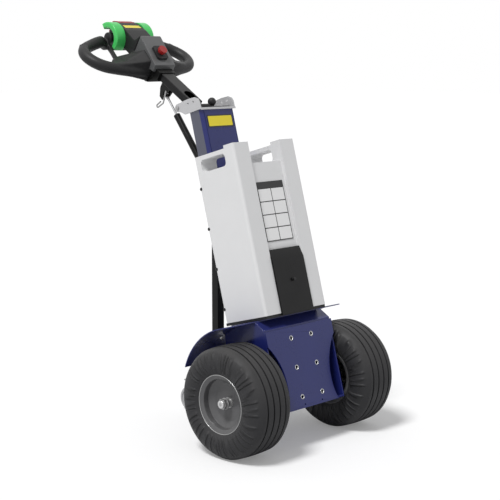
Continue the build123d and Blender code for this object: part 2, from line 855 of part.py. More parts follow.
def throttle(side):
    start, end = math.radians(throttle_from), math.radians(throttle_to)

    def at(radius, angle):
        return (throttle_middle_along + radius * math.cos(angle), throttle_middle_up + radius * math.sin(angle))

    half_way = (start + end) / 2
    band = make_face([
        ThreePointArc(at(throttle_out, start), at(throttle_out, half_way), at(throttle_out, end)),
        Line(at(throttle_out, end), at(throttle_in, end)),
        ThreePointArc(at(throttle_in, end), at(throttle_in, half_way), at(throttle_in, start)),
        Line(at(throttle_in, start), at(throttle_out, start)),
    ])
    low = hub_half + 0.3
    wing = extrude(Plane.YZ.offset(low) * band, throttle_width)
    wing = fillet(wing.edges().group_by(Axis.X)[-1], throttle_edge)
    if side < 0:
        wing = mirror(wing, Plane.YZ)
    return tiller_frame * wing


def release_lever():
    """Bent wire hook beside the lug."""
    x = -lug_half - lever_wire - 0.3
    route = [(x, 128, -20), (x, 119, -62), (x, 135, -90), (x, 142, -84), (x, 132, -64)]
    path = FilletPolyline(*route, radius=lever_bend)
    start = Plane(origin=path @ 0, z_dir=path % 0)
    return tiller_frame * sweep(start * Circle(lever_wire), path=path)


# Gas spring


def spring_pins():
    """Lower and upper pin, as (y, z)."""
    foot = body_point(0, spring_foot_back, spring_foot_up)
    eye = tiller_point(0, eye_along, -eye_below)
    return (foot[1], foot[2]), (eye[1], eye[2])


def spring_frame():
    foot, eye = spring_pins()
    angle = math.degrees(math.atan2(eye[1] - foot[1], eye[0] - foot[0]))
    return Location((0, foot[0], foot[1]), (angle, 0, 0))


def spring_reach():
    foot, eye = spring_pins()
    return math.dist(foot, eye)


def gas_cylinder():
    eye_radius = 9
    bore = rod_radius + running_gap
    middle = (spring_length + spring_barrel_start) / 2
    barrel = Pos(0, middle, 0) * Rot(90, 0, 0) * Cylinder(spring_radius, spring_length - spring_barrel_start)
    eye = rod_across(eye_radius, -spring_eye_half, spring_eye_half, 0, 0)
    eye += block((-5, 5), (0, spring_barrel_start + 1), (-5, 5))
    piece = barrel + eye
    piece -= rod_across(eye_pin_radius + running_gap, -spring_eye_half - 1, spring_eye_half + 1, 0, 0)
    piece -= Pos(0, spring_length - spring_bore / 2 + 1, 0) * Rot(90, 0, 0) * Cylinder(bore, spring_bore + 2)
    return spring_frame() * piece


def gas_rod():
    reach = spring_reach()
    rod_start = spring_length - rod_inside
    rod = Pos(0, (rod_start + reach - 8) / 2, 0) * Rot(90, 0, 0) * Cylinder(rod_radius, reach - 8 - rod_start)
    eye = rod_across(8, -spring_eye_half, spring_eye_half, reach, 0)
    neck = Pos(0, reach - 14, 0) * Rot(90, 0, 0) * Cylinder(6, 14)
    return spring_frame() * (rod + eye + neck)


def all_pieces():
    made = wheel_pieces()
    made.update(axle_tubes())
    for maker in (battery_case, battery_tray, label_plate, latch_plate, latch_knob, chassis_box, hitch_plate, mudguard,
                  transaxle, mast_column, mast_cover, head_bracket, pivot_pin, stop_pad, head_knob, spring_bracket,
                  rear_stay, rear_arm, castor_mount, castor_fork, castor_wheel, tiller_tube, tiller_lug, tiller_head,
                  console, stop_button_base, stop_button, belly_button, head_clamp, release_lever,
                  gas_cylinder, gas_rod):
        made[maker.__name__] = maker()
    made["throttle_left"] = throttle(-1)
    made["throttle_right"] = throttle(1)
    return made


pieces = all_pieces()
boxes = [shape.bounding_box() for shape in pieces.values()]
middle_y = (min(box.min.Y for box in boxes) + max(box.max.Y for box in boxes)) / 2

os.makedirs("parts", exist_ok=True)
for name, shape in pieces.items():
    export_step(Pos(0, -middle_y, 0) * shape, os.path.join("parts", name + ".step"))
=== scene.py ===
import bpy
import bmesh
import json
import math
from mathutils import Matrix, Vector

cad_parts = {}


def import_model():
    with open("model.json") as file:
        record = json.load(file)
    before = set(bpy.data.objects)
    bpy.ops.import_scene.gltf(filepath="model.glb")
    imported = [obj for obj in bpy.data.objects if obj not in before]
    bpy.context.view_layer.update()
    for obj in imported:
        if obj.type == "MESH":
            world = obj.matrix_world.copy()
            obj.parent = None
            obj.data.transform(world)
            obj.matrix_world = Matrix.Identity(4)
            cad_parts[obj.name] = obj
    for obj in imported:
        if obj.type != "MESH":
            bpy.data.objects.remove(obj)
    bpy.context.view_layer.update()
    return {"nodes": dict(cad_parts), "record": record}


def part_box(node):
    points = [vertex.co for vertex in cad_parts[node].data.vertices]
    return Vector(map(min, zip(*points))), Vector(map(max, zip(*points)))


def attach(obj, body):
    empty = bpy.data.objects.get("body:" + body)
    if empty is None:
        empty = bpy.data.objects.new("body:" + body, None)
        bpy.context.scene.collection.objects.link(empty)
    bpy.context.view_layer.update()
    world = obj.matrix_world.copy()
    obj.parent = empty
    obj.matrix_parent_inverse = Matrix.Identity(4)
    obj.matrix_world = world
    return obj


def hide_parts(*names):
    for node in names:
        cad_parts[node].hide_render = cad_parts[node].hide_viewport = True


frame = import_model()
nodes = frame["nodes"]

# Pedestrian electric tow tractor. Metres, in the same frame as the solids:
# X across, Y back towards the tiller, Z up, the floor at Z = 0.

# Where the machine stands
middle_y = 0.316586             # the wheels' axle is this far in front of the origin
wheel_radius = 0.165
wheel_middle = 0.2325           # from the middle plane to the middle of a tyre

# The body leans back; places on it are given from the battery case's front bottom edge
body_lean = math.radians(15.6)
case_front_y = -0.024 - middle_y
case_front_z = 0.402

# The tiller rises from its pivot
tiller_rise = math.radians(31.8)
pivot_back = 0.265
pivot_up = 0.685

# Wheel trim, along the axle from a wheel's middle. Each rim's rolled edge is a ring of lighter steel, a
# painted highlight on the rim's lip.
bead_radius = 0.0863            # bright rolled edge of the rim
bead_wire = 0.0014
bead_segments = 96
cap_start = 0.058               # turned end of the half-shaft, outside the nut
cap_length = 0.0062
cap_radius = 0.012
cap_edge = 0.0012
mark_outer, mark_inner = 0.55, 0.3      # centre mark of the cap, as shares of its flat face

# Hitch plate bushes, in the leaning body
hitch_face = 0.0037
hole_pitch = 0.088
hole_radius = 0.006
lowest_hole = -0.2538
hole_columns, hole_rows = 2, 3
bush_wall = 0.0015
bush_lip = 0.0009
bush_depth = 0.004
bush_step = 0.0004              # how far the bush's bore stands inside the hole's edge
bush_segments = 28

# Screw plugs along the rear edge of the battery case's sides
case_half = 0.1322
plug_back = 0.1685
plug_lowest = 0.0422
plug_step = 0.1232
plug_count = 4
plug_radius = 0.0052
plug_height = 0.0016

# Screw heads: how far they start under the face, then shares of their radius and height
head_sunk = 0.001
screw_socket = 0.45
socket_rim = 1.3
socket_floor = 0.3
screw_rim = 0.35
screw_crown = 0.8
screw_segments = 20

# Bolts through the guard's rolled tail
guard_inside = 0.210            # radius about the axle
bolt_angle = math.radians(44)
bolt_across = 0.138
bolt_gap = 0.022
bolt_radius = 0.0062
bolt_height = 0.005
bolt_stagger = 0.008            # the second bolt stands this far round from the first

# Blank name plate on the mast
plate_half = 0.054
plate_low, plate_high = 0.599, 0.638
plate_border = 0.0038
plate_thickness = 0.0007
plate_corner = 0.002

# Blank label: a dark head strip over two columns of blank tiles
label_half = 0.057
label_low, label_high = 0.214, 0.395
label_head = 0.019
label_margin = 0.0005
tile_columns, tile_rows = 2, 4
tile_edge = 0.003
tile_corner = 0.0008
film = 0.00035

# Blank strip on the tiller head, behind its crest
strip_half = 0.034
strip_front, strip_back = 0.383, 0.4
strip_up = 0.0578
strip_fall = math.radians(3.7)

# Red belly pad, which wraps over the head's back edge, as (along, up)
pad_half = 0.034
pad_edge = 0.003
pad_segments = 3
pad_profile = ((0.452, 0.004), (0.452, 0.0425), (0.446, 0.0470), (0.438, 0.0515), (0.423, 0.0560),
               (0.421, 0.0530), (0.437, 0.0480), (0.4395, 0.0440), (0.4395, 0.004))

# Drum behind each throttle, drawn in where the photograph shows a slimmer one
drum_along, drum_up = 0.400, 0.008
drum_inside = 0.0435
drum_radius = 0.027
drum_shown = 0.020
drum_under, drum_over = 0.0008, 0.0004  # how far a drum's own points lie off its radius

# The ring's back rises to meet the drums, as full values at (across, along)
rise_height = 0.012
rise_across = (0.078, 0.100)
rise_away = (0.100, 0.190)
rise_along = (0.325, 0.405)

# Skin of the tiller head
skin_voxel = 0.0024
skin_smoothing = 9
skin_softness = 0.5
skin_weld = 0.00001

# Sections of the web from the head's body out to the ring: across, then (along, up) points
shoulder_sections = (
    (0.036, ((0.202, -0.030), (0.208, 0.042), (0.256, 0.054),
             (0.303, 0.016), (0.303, -0.002), (0.240, -0.031))),
    (0.100, ((0.213, -0.022), (0.227, 0.021), (0.246, 0.019),
             (0.310, -0.006), (0.308, -0.018), (0.240, -0.027))),
    (0.158, ((0.236, -0.022), (0.238, 0.003), (0.250, 0.007),
             (0.264, 0.001), (0.264, -0.018), (0.250, -0.026))),
)

# Camera of the photograph
camera_place = (-2.7119, -2.4951 - middle_y, 1.1514)
camera_heading = math.radians(45.471)   # from +Y towards +X
camera_pitch = math.radians(8.812)      # below level
camera_lens = 90.15                     # mm on a 36 mm sensor
camera_sensor = 36.0
clip_near, clip_far = 0.05, 200

# Sockets of a colour mix node
mix_first, mix_second, mix_result = 6, 7, 2

# Uneven finish: specks over patches, and what dust does to the gloss
speck_size = 420.0
speck_share = 0.35
finish_middle = 0.675           # mean of a patch with its share of specks
gloss_swing = 2.5
dust_dulling = 0.4
coat_roughness = 0.12

# Sidewall fins: how they lean and wander, how sharp they are and where they fade
fin_lean = 1.2
fin_change = 1.2
fin_drift = 22.0
fin_drift_size = 3.0
fin_sharpness = 2.8
fin_patch_size = 6.0
fin_patch_gain, fin_patch_cut = 3.2, -0.75


def body_matrix():
    """From places along the leaning body (x, back, up) to the row frame."""
    turn = Matrix.Rotation(-body_lean, 4, "X")
    return Matrix.Translation((0, case_front_y, case_front_z)) @ turn


in_body = body_matrix()
pivot = in_body @ Vector((0, pivot_back, pivot_up))
in_tiller = Matrix.Translation(pivot) @ Matrix.Rotation(tiller_rise, 4, "X")


# Shader groups


def link(tree, source, target):
    tree.links.new(source, target)


def new_group(name, inputs, outputs):
    """An empty shader group with its sockets; inputs are (name, kind, default)."""
    tree = bpy.data.node_groups.new(name, "ShaderNodeTree")
    for title, kind, default in inputs:
        socket = tree.interface.new_socket(title, in_out="INPUT", socket_type="NodeSocket" + kind)
        socket.default_value = default
    for title, kind in outputs:
        tree.interface.new_socket(title, in_out="OUTPUT", socket_type="NodeSocket" + kind)
    return tree, tree.nodes.new("NodeGroupInput"), tree.nodes.new("NodeGroupOutput")


def maths(tree, operation, first, second=None, third=None, clamp=False):
    """A maths node; each operand is a socket or a number."""
    node = tree.nodes.new("ShaderNodeMath")
    node.operation = operation
    node.use_clamp = clamp
    for place, operand in enumerate((first, second, third)):
        if operand is None:
            continue
        if isinstance(operand, (int, float)):
            node.inputs[place].default_value = operand
        else:
            link(tree, operand, node.inputs[place])
    return node.outputs[0]


def noise(tree, vector, scale, detail=3.0):
    node = tree.nodes.new("ShaderNodeTexNoise")
    node.inputs["Detail"].default_value = detail
    link(tree, vector, node.inputs["Vector"])
    if isinstance(scale, (int, float)):
        node.inputs["Scale"].default_value = scale
    else:
        link(tree, scale, node.inputs["Scale"])
    return node.outputs["Fac"]


def object_place(tree):
    return tree.nodes.new("ShaderNodeTexCoord").outputs["Object"]


def between(tree, value, start, end):
    """0 at start and 1 at end, with a soft course between them."""
    node = tree.nodes.new("ShaderNodeMapRange")
    node.interpolation_type = "SMOOTHSTEP"
    link(tree, value, node.inputs["Value"])
    for title, limit in (("From Min", start), ("From Max", end)):
        if isinstance(limit, (int, float)):
            node.inputs[title].default_value = limit
        else:
            link(tree, limit, node.inputs[title])
    return node.outputs["Result"]


def relief_group():
    """Fine moulded or sprayed grain, with slow waves under it."""
    tree, given, out = new_group("surface_relief", [
        ("Grain size", "Float", 900.0), ("Grain depth", "Float", 0.00003),
        ("Wave size", "Float", 9.0), ("Wave depth", "Float", 0.0004)], [("Normal", "Vector")])
    place = object_place(tree)
    wave = tree.nodes.new("ShaderNodeBump")
    link(tree, noise(tree, place, given.outputs["Wave size"], 1.0), wave.inputs["Height"])
    link(tree, given.outputs["Wave depth"], wave.inputs["Distance"])
    grain = tree.nodes.new("ShaderNodeBump")
    link(tree, noise(tree, place, given.outputs["Grain size"], 2.0), grain.inputs["Height"])
    link(tree, given.outputs["Grain depth"], grain.inputs["Distance"])
    link(tree, wave.outputs["Normal"], grain.inputs["Normal"])
    link(tree, grain.outputs["Normal"], out.inputs["Normal"])
    return tree


def finish_group():
    """Slightly uneven colour and gloss: patches, fine specks and a little dust on upward faces."""
    tree, given, out = new_group("uneven_finish", [
        ("Colour", "Color", (0.5, 0.5, 0.5, 1)), ("Roughness", "Float", 0.5), ("Spread", "Float", 0.06),
        ("Patch size", "Float", 14.0), ("Dust", "Float", 0.1),
        ("Dust colour", "Color", (0.45, 0.43, 0.4, 1))], [("Colour", "Color"), ("Roughness", "Float")])
    place = object_place(tree)
    patch = noise(tree, place, given.outputs["Patch size"], 4.0)
    speck = noise(tree, place, speck_size, 2.0)
    mixed = maths(tree, "MULTIPLY_ADD", speck, speck_share, patch)
    swing = maths(tree, "MULTIPLY", maths(tree, "SUBTRACT", mixed, finish_middle), given.outputs["Spread"])
    level = maths(tree, "MULTIPLY_ADD", swing, 2.0, 1.0)
    scaled = tree.nodes.new("ShaderNodeVectorMath")
    scaled.operation = "SCALE"
    link(tree, given.outputs["Colour"], scaled.inputs[0])
    link(tree, level, scaled.inputs["Scale"])
    geometry = tree.nodes.new("ShaderNodeNewGeometry")
    parts = tree.nodes.new("ShaderNodeSeparateXYZ")
    link(tree, geometry.outputs["Normal"], parts.inputs[0])
    settled = maths(tree, "MULTIPLY", patch, given.outputs["Dust"])
    upward = maths(tree, "MULTIPLY", parts.outputs["Z"], settled, clamp=True)
    dusty = tree.nodes.new("ShaderNodeMix")
    dusty.data_type = "RGBA"
    link(tree, upward, dusty.inputs["Factor"])
    link(tree, scaled.outputs[0], dusty.inputs[mix_first])
    link(tree, given.outputs["Dust colour"], dusty.inputs[mix_second])
    link(tree, dusty.outputs[mix_result], out.inputs["Colour"])
    gloss = maths(tree, "MULTIPLY_ADD", swing, gloss_swing, given.outputs["Roughness"])
    dulling = maths(tree, "MULTIPLY", upward, dust_dulling)
    link(tree, maths(tree, "ADD", gloss, dulling, clamp=True), out.inputs["Roughness"])
    return tree


def fins_group():
    """Height of the shallow fins that run out across a tyre's sidewall."""
    tree, given, out = new_group("sidewall_fins", [
        ("Fins", "Float", 38.0), ("Inner radius", "Float", 0.094), ("Outer radius", "Float", 0.158),
        ("Fade", "Float", 0.014)], [("Height", "Float")])
    place = object_place(tree)
    parts = tree.nodes.new("ShaderNodeSeparateXYZ")
    link(tree, place, parts.inputs[0])
    back = maths(tree, "ADD", parts.outputs["Y"], middle_y)
    up = maths(tree, "SUBTRACT", parts.outputs["Z"], wheel_radius)
    radius = maths(tree, "SQRT", maths(tree, "MULTIPLY_ADD", back, back, maths(tree, "MULTIPLY", up, up)))
    swirl = maths(tree, "MULTIPLY_ADD", radius, fin_lean, maths(tree, "ARCTAN2", up, back))
    turns = maths(tree, "MULTIPLY", swirl, given.outputs["Fins"])
    heading = tree.nodes.new("ShaderNodeCombineXYZ")
    link(tree, maths(tree, "DIVIDE", back, radius), heading.inputs["X"])
    link(tree, maths(tree, "DIVIDE", up, radius), heading.inputs["Y"])
    link(tree, maths(tree, "MULTIPLY", radius, fin_change), heading.inputs["Z"])
    drift = noise(tree, heading.outputs[0], fin_drift_size, 2.0)
    drifting = maths(tree, "MULTIPLY_ADD", drift, fin_drift, turns)
    wave = maths(tree, "MULTIPLY_ADD", maths(tree, "SINE", drifting), 0.5, 0.5)
    ridge = maths(tree, "POWER", wave, fin_sharpness)
    patch = noise(tree, heading.outputs[0], fin_patch_size, 1.0)
    patchy = maths(tree, "MULTIPLY_ADD", patch, fin_patch_gain, fin_patch_cut, clamp=True)
    start = given.outputs["Inner radius"]
    end = given.outputs["Outer radius"]
    rise = between(tree, radius, start, maths(tree, "ADD", start, given.outputs["Fade"]))
    fall = between(tree, radius, end, maths(tree, "SUBTRACT", end, given.outputs["Fade"]))
    shape = maths(tree, "MULTIPLY", ridge, patchy)
    height = maths(tree, "MULTIPLY", shape, maths(tree, "MULTIPLY", rise, fall))
    link(tree, height, out.inputs["Height"])
    return tree


def drawn_group():
    """Fine lines along a drawn or brushed length of metal; the stretch says which way they run."""
    tree, given, out = new_group("drawn_lines", [
        ("Stretch", "Vector", (900.0, 900.0, 9.0)), ("Depth", "Float", 0.00002)], [("Line", "Float")])
    scaled = tree.nodes.new("ShaderNodeVectorMath")
    scaled.operation = "MULTIPLY"
    link(tree, object_place(tree), scaled.inputs[0])
    link(tree, given.outputs["Stretch"], scaled.inputs[1])
    line = noise(tree, scaled.outputs[0], 1.0, 2.0)
    link(tree, maths(tree, "MULTIPLY", line, given.outputs["Depth"]), out.inputs["Line"])
    return tree


relief = relief_group()
uneven = finish_group()
fins = fins_group()
drawn = drawn_group()


def new_material(name, colour, roughness, metal, coat, shine, grain, depth, spread, wave, dust):
    """A material with grain, uneven colour and gloss."""
    material = bpy.data.materials.new(name)
    material.use_nodes = True
    tree = material.node_tree
    shader = tree.nodes["Principled BSDF"]
    shader.inputs["Metallic"].default_value = metal
    shader.inputs["Coat Weight"].default_value = coat
    shader.inputs["Coat Roughness"].default_value = coat_roughness
    shader.inputs["Specular IOR Level"].default_value = shine
    finish = tree.nodes.new("ShaderNodeGroup")
    finish.node_tree = uneven
    finish.inputs["Colour"].default_value = (*colour, 1)
    finish.inputs["Roughness"].default_value = roughness
    finish.inputs["Spread"].default_value = spread
    finish.inputs["Dust"].default_value = dust
    link(tree, finish.outputs["Colour"], shader.inputs["Base Color"])
    link(tree, finish.outputs["Roughness"], shader.inputs["Roughness"])
    bumps = tree.nodes.new("ShaderNodeGroup")
    bumps.node_tree = relief
    bumps.inputs["Grain size"].default_value = grain
    bumps.inputs["Grain depth"].default_value = depth
    bumps.inputs["Wave depth"].default_value = wave
    link(tree, bumps.outputs["Normal"], shader.inputs["Normal"])
    return material


def add_relief(material, group, output, distance, **settings):
    """Lay a group's height over a material's own relief."""
    tree = material.node_tree
    normal = tree.nodes["Principled BSDF"].inputs["Normal"]
    pattern = tree.nodes.new("ShaderNodeGroup")
    pattern.node_tree = group
    for title, value in settings.items():
        pattern.inputs[title.replace("_", " ").capitalize()].default_value = value
    bump = tree.nodes.new("ShaderNodeBump")
    bump.inputs["Distance"].default_value = distance
    link(tree, pattern.outputs[output], bump.inputs["Height"])
    link(tree, normal.links[0].from_socket, bump.inputs["Normal"])
    link(tree, bump.outputs["Normal"], normal)


# name: colour, roughness, metal, coat, shine, grain, depth, spread, wave, dust
finishes = {
    "tyre_rubber": ((0.026, 0.026, 0.028), 0.58, 0, 0, 0.25, 700, 0.00010, 0.25, 0.0003, 0.10),
    "rim_paint": ((0.095, 0.095, 0.098), 0.36, 0.2, 0.1, 0.4, 800, 0.00002, 0.12, 0.0002, 0.10),
    "hub_steel": ((0.40, 0.40, 0.40), 0.34, 0.85, 0, 0.5, 900, 0.00002, 0.15, 0.0001, 0.1),
    "blue_paint": ((0.012, 0.018, 0.125), 0.30, 0, 0.25, 0.3, 500, 0.00002, 0.08, 0.0002, 0.05),
    "case_white": ((0.71, 0.712, 0.716), 0.44, 0, 0, 0.4, 900, 0.00004, 0.03, 0.0003, 0.04),
    "black_plastic": ((0.014, 0.014, 0.015), 0.50, 0, 0, 0.28, 1200, 0.00008, 0.15, 0.0002, 0.05),
    "black_steel": ((0.0045, 0.0045, 0.005), 0.36, 0, 0.18, 0.12, 900, 0.00003, 0.15, 0.0002, 0.04),
    "mast_aluminium": ((0.11, 0.115, 0.150), 0.36, 0.5, 0, 0.5, 900, 0.00002, 0.08, 0.0001, 0.06),
    "bracket_zinc": ((0.52, 0.52, 0.53), 0.40, 0.2, 0, 0.5, 900, 0.00003, 0.10, 0.0002, 0.04),
    "green_plastic": ((0.065, 0.58, 0.125), 0.34, 0, 0.1, 0.4, 900, 0.00004, 0.06, 0.0002, 0.02),
    "red_plastic": ((0.32, 0.010, 0.010), 0.32, 0, 0.1, 0.4, 900, 0.00002, 0.05, 0.0002, 0.02),
    "drive_iron": ((0.02, 0.02, 0.02), 0.6, 0.2, 0, 0.4, 400, 0.0002, 0.25, 0.0002, 0.2),
    "castor_tread": ((0.40, 0.40, 0.41), 0.5, 0, 0, 0.4, 800, 0.00004, 0.12, 0.0002, 0.15),
    "rod_steel": ((0.55, 0.55, 0.56), 0.16, 1.0, 0, 0.5, 900, 0.00001, 0.05, 0.0001, 0.02),
    "console_plastic": ((0.090, 0.092, 0.094), 0.36, 0, 0, 0.5, 1100, 0.00008, 0.10, 0.0002, 0.05),
    "clamp_plastic": ((0.006, 0.006, 0.006), 0.40, 0, 0, 0.2, 1000, 0.00008, 0.2, 0.0002, 0.02),
    "bright_steel": ((0.62, 0.62, 0.62), 0.26, 0.8, 0, 0.5, 900, 0.00001, 0.08, 0.0001, 0.04),
    "yellow_film": ((0.80, 0.66, 0.025), 0.36, 0, 0.15, 0.4, 1500, 0.00001, 0.02, 0.0002, 0.02),
    "dark_film": ((0.010, 0.010, 0.011), 0.36, 0, 0.15, 0.4, 1500, 0.00001, 0.05, 0.0002, 0.02),
    "tile_film": ((0.80, 0.80, 0.80), 0.38, 0, 0.15, 0.4, 1500, 0.00001, 0.02, 0.0002, 0.02),
}
materials = {}
for name, values in finishes.items():
    colour, rough, metal, coat, shine, grain, depth, spread, wave, dust = values
    materials[name] = new_material(name, colour, rough, metal, coat, shine, grain, depth, spread, wave, dust)

add_relief(materials["tyre_rubber"], fins, "Height", 0.0065)
add_relief(materials["mast_aluminium"], drawn, "Line", 1.0, stretch=(1200.0, 1200.0, 12.0), depth=0.00003)
add_relief(materials["bracket_zinc"], drawn, "Line", 1.0, stretch=(40.0, 900.0, 900.0), depth=0.00002)

slot_of = {part["node"]: part["material_slot"] for part in frame["record"]["subparts"]}


# Solids: softened edges and materials

soft_edges = {
    "battery_case": 0.0022, "tiller_head": 0.003, "console": 0.003, "head_clamp": 0.003,
    "belly_button": 0.002, "stop_button_base": 0.0015, "stop_button": 0.002, "chassis_box": 0.0015,
    "hitch_plate": 0.0006, "mudguard": 0.0008, "head_bracket": 0.0006, "mast_column": 0.0008,
    "mast_cover": 0.0004, "label_plate": 0.0002, "transaxle": 0.004, "throttle_left": 0.0015,
    "throttle_right": 0.0015, "rear_arm": 0.002, "rear_stay": 0.002, "battery_tray": 0.0012,
}
usual_edge = 0.0005
edge_angle = math.radians(32)
shade_weight = 80
solid_weld = 0.000005
own_finish = {"console": "console_plastic", "head_clamp": "clamp_plastic", "label_plate": "dark_film",
              "latch_knob": "black_plastic"}


def soften(piece, width, segments=2):
    """Round the sharp edges a little, and weight the shading to the large faces."""
    edge = piece.modifiers.new("edge", "BEVEL")
    edge.width = width
    edge.segments = segments
    edge.limit_method = "ANGLE"
    edge.angle_limit = edge_angle
    edge.use_clamp_overlap = True
    shade = piece.modifiers.new("shade", "WEIGHTED_NORMAL")
    shade.keep_sharp = False
    shade.weight = shade_weight


for name, piece in nodes.items():
    piece.data.materials.clear()
    piece.data.materials.append(materials[own_finish.get(name, slot_of[name])])
    weld = piece.modifiers.new("weld", "WELD")
    weld.merge_threshold = solid_weld
    soften(piece, soft_edges.get(name, usual_edge))


# Added pieces


def new_piece(name, mesh, finish, body):
    """A finished mesh as an object that rides on a body."""
    mesh.materials.clear()
    mesh.materials.append(materials[finish])
    piece = bpy.data.objects.new(name, mesh)
    bpy.context.scene.collection.objects.link(piece)
    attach(piece, body)
    return piece


def mesh_from(work, name, smooth=False):
    bmesh.ops.recalc_face_normals(work, faces=work.faces)
    mesh = bpy.data.meshes.new(name)
    work.to_mesh(mesh)
    work.free()
    for face in mesh.polygons:
        face.use_smooth = smooth
    return mesh


def turned(name, profile, segments=40, closed=False):
    """A shape turned about Z from (radius, height) points; a closed profile makes a ring."""
    work = bmesh.new()
    rows = []
    for radius, height in profile:
        if radius == 0:
            rows.append([work.verts.new((0, 0, height))])
            continue
        steps = [2 * math.pi * step / segments for step in range(segments)]
        rows.append([work.verts.new((radius * math.cos(a), radius * math.sin(a), height)) for a in steps])
    pairs = list(zip(rows, rows[1:]))
    if closed:
        pairs.append((rows[-1], rows[0]))
    for low, high in pairs:
        for step in range(segments):
            after = (step + 1) % segments
            corners = [low[step % len(low)], low[after % len(low)],
                       high[after % len(high)], high[step % len(high)]]
            work.faces.new(list(dict.fromkeys(corners)))
    return mesh_from(work, name, smooth=True)


def round_profile(radius, wire, steps=10):
    """Round section of a ring, as (radius, height)."""
    angles = [2 * math.pi * step / steps for step in range(steps)]
    return [(radius + wire * math.cos(a), wire * math.sin(a)) for a in angles]


def plate(name, width, height, thickness, corner, steps=4):
    """A thin plate with rounded corners, in X and Y, standing up along Z."""
    work = bmesh.new()
    outline = []
    for quarter in range(4):
        across = (1, -1, -1, 1)[quarter] * (width / 2 - corner)
        up = (1, 1, -1, -1)[quarter] * (height / 2 - corner)
        for step in range(steps + 1):
            angle = math.radians(90 * quarter + 90 * step / steps)
            outline.append((across + corner * math.cos(angle), up + corner * math.sin(angle)))
    low = [work.verts.new((x, y, 0)) for x, y in outline]
    high = [work.verts.new((x, y, thickness)) for x, y in outline]
    work.faces.new(low)
    work.faces.new(high)
    for place in range(len(outline)):
        after = (place + 1) % len(outline)
        work.faces.new([low[place], low[after], high[after], high[place]])
    return mesh_from(work, name)


def repeat_tree():
    """Rows and columns of a piece's own mesh, made one plain mesh with its material."""
    tree = bpy.data.node_groups.new("repeat_in_rows", "GeometryNodeTree")
    names = {}
    for title, kind in (("Geometry", "Geometry"), ("Columns", "Int"), ("Rows", "Int"),
                        ("Column step", "Vector"), ("Row step", "Vector"), ("Material", "Material")):
        socket = tree.interface.new_socket(title, in_out="INPUT", socket_type="NodeSocket" + kind)
        names[title] = socket.identifier
    tree.interface.new_socket("Geometry", in_out="OUTPUT", socket_type="NodeSocketGeometry")
    given, out = tree.nodes.new("NodeGroupInput"), tree.nodes.new("NodeGroupOutput")
    lines = []
    for count, step in (("Columns", "Column step"), ("Rows", "Row step")):
        line = tree.nodes.new("GeometryNodeMeshLine")
        line.mode = "OFFSET"
        link(tree, given.outputs[count], line.inputs["Count"])
        link(tree, given.outputs[step], line.inputs["Offset"])
        lines.append(line.outputs["Mesh"])
    grid = tree.nodes.new("GeometryNodeInstanceOnPoints")
    link(tree, lines[0], grid.inputs["Points"])
    link(tree, lines[1], grid.inputs["Instance"])
    points = tree.nodes.new("GeometryNodeRealizeInstances")
    link(tree, grid.outputs[0], points.inputs[0])
    copies = tree.nodes.new("GeometryNodeInstanceOnPoints")
    link(tree, points.outputs[0], copies.inputs["Points"])
    link(tree, given.outputs["Geometry"], copies.inputs["Instance"])
    plain = tree.nodes.new("GeometryNodeRealizeInstances")
    link(tree, copies.outputs[0], plain.inputs[0])
    finish = tree.nodes.new("GeometryNodeSetMaterial")
    link(tree, plain.outputs[0], finish.inputs["Geometry"])
    link(tree, given.outputs["Material"], finish.inputs["Material"])
    link(tree, finish.outputs[0], out.inputs["Geometry"])
    return tree, names


repeat, repeat_names = repeat_tree()


def evaluated_mesh(piece):
    """The piece's mesh with its modifiers carried out; the modifiers are gone afterwards."""
    bpy.context.view_layer.update()
    graph = bpy.context.evaluated_depsgraph_get()
    mesh = bpy.data.meshes.new_from_object(piece.evaluated_get(graph))
    piece.modifiers.clear()
    return mesh


def in_rows(mesh, place, finish, columns=1, rows=1, column_step=(0, 0, 0), row_step=(0, 0, 0)):
    """Copies of a mesh in rows and columns, moved to their place."""
    holder = bpy.data.objects.new("rows", mesh)
    bpy.context.scene.collection.objects.link(holder)
    change = holder.modifiers.new("rows", "NODES")
    change.node_group = repeat
    for title, value in (("Columns", columns), ("Rows", rows), ("Column step", column_step),
                         ("Row step", row_step), ("Material", materials[finish])):
        change[repeat_names[title]] = value
    copies = evaluated_mesh(holder)
    bpy.data.objects.remove(holder)
    copies.transform(place)
    return copies


def front_of(node, matrix):
    """How far back a node's front face lies in a frame."""
    return min((matrix.inverted() @ vertex.co).y for vertex in nodes[node].data.vertices)


facing_front = Matrix.Rotation(math.radians(90), 4, "X")
sides = {"left": -1, "right": 1}


def outwards(side):
    """Turns Z to the outside of the left or right of the machine."""
    return Matrix.Rotation(side * math.radians(90), 4, "Y")


def wheel_trim():
    """Rolled rim edges in a lighter steel, a painted highlight on the rims' lips, and the turned ends of the
    half-shafts.
    """
    highlight_bead = turned("highlight_bead", round_profile(bead_radius, bead_wire), bead_segments, closed=True)
    inner = cap_radius - cap_edge
    low = cap_length - cap_edge
    end = turned("end", [(0, 0), (cap_radius, 0), (cap_radius, low), (inner, cap_length),
                         (inner * mark_outer, cap_length), (inner * mark_inner, low), (0, low)])
    for name, side in sides.items():
        middle = Matrix.Translation((side * wheel_middle, -middle_y, wheel_radius)) @ outwards(side)
        rim_edge = max(abs(corner[0]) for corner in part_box("rim_" + name)) - wheel_middle
        # The ring's lighter steel paints the highlight along the rim's lip; the rim itself is the darker rim
        # paint.
        edge = highlight_bead.copy()
        edge.transform(middle @ Matrix.Translation((0, 0, rim_edge - bead_wire / 2)))
        new_piece("rim_highlight_edge_" + name, edge, "hub_steel", name + "_wheel")
        cap = end.copy()
        cap.transform(middle @ Matrix.Translation((0, 0, cap_start)))
        new_piece("shaft_end_" + name, cap, "bright_steel", name + "_wheel")


